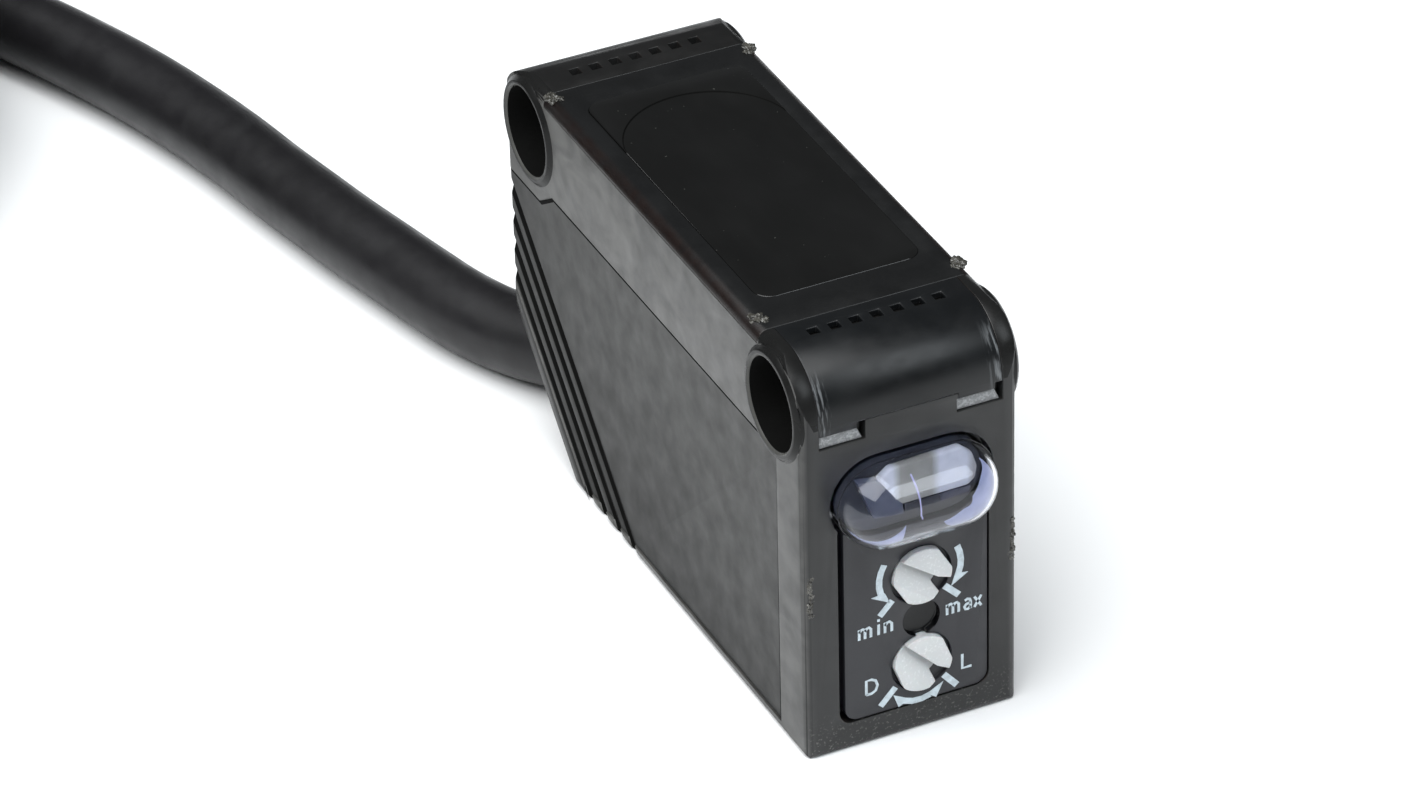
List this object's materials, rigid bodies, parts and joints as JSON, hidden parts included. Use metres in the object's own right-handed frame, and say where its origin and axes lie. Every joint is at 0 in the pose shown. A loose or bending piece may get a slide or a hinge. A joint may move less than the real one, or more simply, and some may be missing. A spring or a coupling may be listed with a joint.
{
  "type": "photoelectric sensor",
  "caption": "block-type miniature photoelectric sensor with filter window, indicator lens, sensitivity and light-on/dark-on adjusters, side screw holes and a coiled pre-wired cable",
  "frame": {"origin": "on the flat back face of the case, midway between the two screw holes and midway across the width", "axes": "+Z out of the sensing window, -Y towards the adjuster and indicator end, +Y towards the cable end, X across the width along the screw holes; the sensor lies on its back face on z = 0 and its cable lies on the same surface"},
  "size_m": [0.0784, 0.1079, 0.0201],
  "materials": {
    "case_plastic": "satin moulded, light flow marks",
    "cap_plastic": "satin moulded",
    "inner_light_plastic": "matte moulded",
    "frame_plastic": "satin moulded",
    "filter_window": "smooth dark filter",
    "inner_black_plastic": "matte moulded",
    "optic_clear": "clear polished",
    "led_epoxy": "clear epoxy over a white base",
    "chip_black": "matte moulded epoxy",
    "chip_tan": "ceramic chips with tinned ends",
    "tinned_steel": "bright tinned",
    "circuit_board": "solder mask",
    "contact_brass": "plated",
    "led_orange": "diffused epoxy",
    "led_green": "diffused epoxy",
    "diffuser_white": "milky white light pipe",
    "lens_bluish": "clear bluish polished",
    "panel_plastic": "fine satin",
    "trimmer_blue": "moulded",
    "knob_white": "satin moulded",
    "seal_rubber": "matte",
    "lead_insulation": "satin insulation",
    "cable_jacket": "satin vinyl jacket",
    "tie_nylon": "nylon",
    "insulation_brown": "satin insulation",
    "insulation_blue": "satin insulation",
    "insulation_black": "satin insulation",
    "tinned_copper": "tinned strands"
  },
  "bodies": {
    "sensor": {"main_case": "case_plastic", "nose_cap": "cap_plastic", "latch_lugs": "inner_light_plastic", "front_frame": "frame_plastic", "window_pane": "filter_window", "optics_holder": "inner_black_plastic", "emitter_lens": "optic_clear", "receiver_lens": "optic_clear", "emitter_led": "led_epoxy", "receiver_photodiode": "chip_black", "receiver_shield": "tinned_steel", "optics_board": "circuit_board", "main_board": "circuit_board", "control_board": "circuit_board", "main_ic": "chip_black", "passives": "chip_tan", "board_pins": "contact_brass", "operation_led": "led_orange", "stability_led": "led_green", "indicator_diffuser": "diffuser_white", "indicator_lens": "lens_bluish", "control_panel": "panel_plastic", "sensitivity_trimmer": "trimmer_blue", "mode_switch": "inner_black_plastic", "shaft_seals": "seal_rubber", "cable_gland": "seal_rubber", "cable_clamp": "tinned_steel", "inner_leads": "lead_insulation", "cable": "cable_jacket", "cable_coil": "cable_jacket", "cable_tie": "tie_nylon", "cable_tail": "cable_jacket", "conductor_brown": "insulation_brown", "conductor_blue": "insulation_blue", "conductor_black": "insulation_black", "conductor_tips": "tinned_copper"},
    "sensitivity": {"sensitivity_knob": "knob_white"},
    "selector": {"mode_knob": "knob_white"}
  },
  "joints": [
    {"name": "sensitivity_turn", "type": "hinge", "parent": "sensor", "child": "sensitivity", "pos_m": [0.00045, -0.0154, 0.0082], "axis": [0, -1, 0], "range_deg": [0, 260]},
    {"name": "selector_turn", "type": "hinge", "parent": "sensor", "child": "selector", "pos_m": [0.00045, -0.0154, 0.00355], "axis": [0, 1, 0], "range_deg": [0, 90]}
  ]
}
